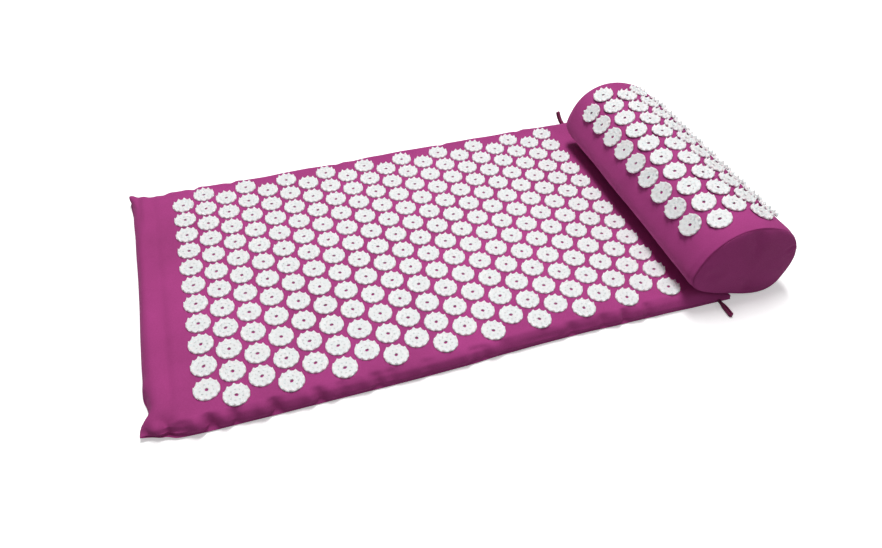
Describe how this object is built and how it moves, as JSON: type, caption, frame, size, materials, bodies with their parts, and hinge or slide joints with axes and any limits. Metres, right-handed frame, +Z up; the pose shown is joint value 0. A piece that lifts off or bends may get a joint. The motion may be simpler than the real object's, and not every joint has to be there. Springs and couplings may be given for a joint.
{
  "type": "acupressure mat",
  "caption": "Flat foam mat in a sewn cotton cover set with staggered white spiked discs, with a matching half-round pillow lying over its head end.",
  "frame": {"origin": "middle of the mat's underside, on the surface that the set lies on", "axes": "+X along the mat towards its head end and the pillow, +Y across the mat towards the far long side, +Z up"},
  "size_m": [0.7798, 0.4672, 0.1207],
  "materials": {
    "cotton": "plain woven magenta cotton, matt",
    "foam": "soft open-cell foam, matt",
    "disc_plastic": "white moulded plastic, semi-gloss",
    "ribbon": "dark woven ribbon",
    "zip_tape": "woven tape, matt",
    "zip_coil": "dyed nylon coil",
    "zip_metal": "painted to match the cloth, satin"
  },
  "bodies": {
    "mat": {"mat_top_cover": "cotton", "mat_base_panel": "cotton", "mat_foam_pad": "foam", "mat_disc_column_01": "disc_plastic", "mat_disc_column_02": "disc_plastic", "mat_disc_column_03": "disc_plastic", "mat_disc_column_04": "disc_plastic", "mat_disc_column_05": "disc_plastic", "mat_disc_column_06": "disc_plastic", "mat_disc_column_07": "disc_plastic", "mat_disc_column_08": "disc_plastic", "mat_disc_column_09": "disc_plastic", "mat_disc_column_10": "disc_plastic", "mat_disc_column_11": "disc_plastic", "mat_disc_column_12": "disc_plastic", "mat_disc_column_13": "disc_plastic", "mat_disc_column_14": "disc_plastic", "mat_disc_column_15": "disc_plastic", "mat_disc_column_16": "disc_plastic", "mat_disc_column_17": "disc_plastic", "mat_disc_column_18": "disc_plastic", "mat_disc_column_19": "disc_plastic", "mat_disc_column_20": "disc_plastic", "mat_zip_tape": "zip_tape", "mat_zip_coil": "zip_coil"},
    "mat_slider": {"mat_zip_slider": "zip_metal"},
    "mat_pull": {"mat_zip_pull": "zip_metal"},
    "near_loop": {"mat_loop_near": "ribbon"},
    "far_loop": {"mat_loop_far": "ribbon"},
    "pillow": {"pillow_cover": "cotton", "pillow_end_panel_near": "cotton", "pillow_end_panel_far": "cotton", "pillow_foam_core": "foam", "pillow_disc_row_1": "disc_plastic", "pillow_disc_row_2": "disc_plastic", "pillow_disc_row_3": "disc_plastic", "pillow_disc_row_4": "disc_plastic", "pillow_disc_row_5": "disc_plastic", "pillow_zip_tape": "zip_tape", "pillow_zip_coil": "zip_coil"},
    "pillow_slider": {"pillow_zip_slider": "zip_metal"},
    "pillow_pull": {"pillow_zip_pull": "zip_metal"}
  },
  "joints": [
    {"name": "pillow_lift", "type": "slide", "parent": "mat", "child": "pillow", "axis": [0, 0, 1], "range_m": [0, 0.15]},
    {"name": "mat_zip_slide", "type": "slide", "parent": "mat", "child": "mat_slider", "axis": [0, -1, 0], "range_m": [0, 0.33]},
    {"name": "mat_zip_pull_turn", "type": "hinge", "parent": "mat_slider", "child": "mat_pull", "pos_m": [0.3429, 0.16538, 0.0048], "axis": [0, 0, 1], "range_deg": [0, 170]},
    {"name": "pillow_zip_slide", "type": "slide", "parent": "pillow", "child": "pillow_slider", "axis": [-0.0401, -0.9992, 0], "range_m": [0, 0.265]},
    {"name": "pillow_zip_pull_turn", "type": "hinge", "parent": "pillow_slider", "child": "pillow_pull", "pos_m": [0.43205, 0.09847, 0.02104], "axis": [0.3295, -0.0132, 0.944], "range_deg": [0, 170]},
    {"name": "mat_loop_near_flex", "type": "hinge", "parent": "mat", "child": "near_loop", "pos_m": [0.328, -0.2085, 0.00355], "axis": [0, 0, 1], "range_deg": [-60, 60]},
    {"name": "mat_loop_far_flex", "type": "hinge", "parent": "mat", "child": "far_loop", "pos_m": [0.328, 0.2085, 0.0045], "axis": [1, 0, 0], "range_deg": [-15, 60]}
  ]
}
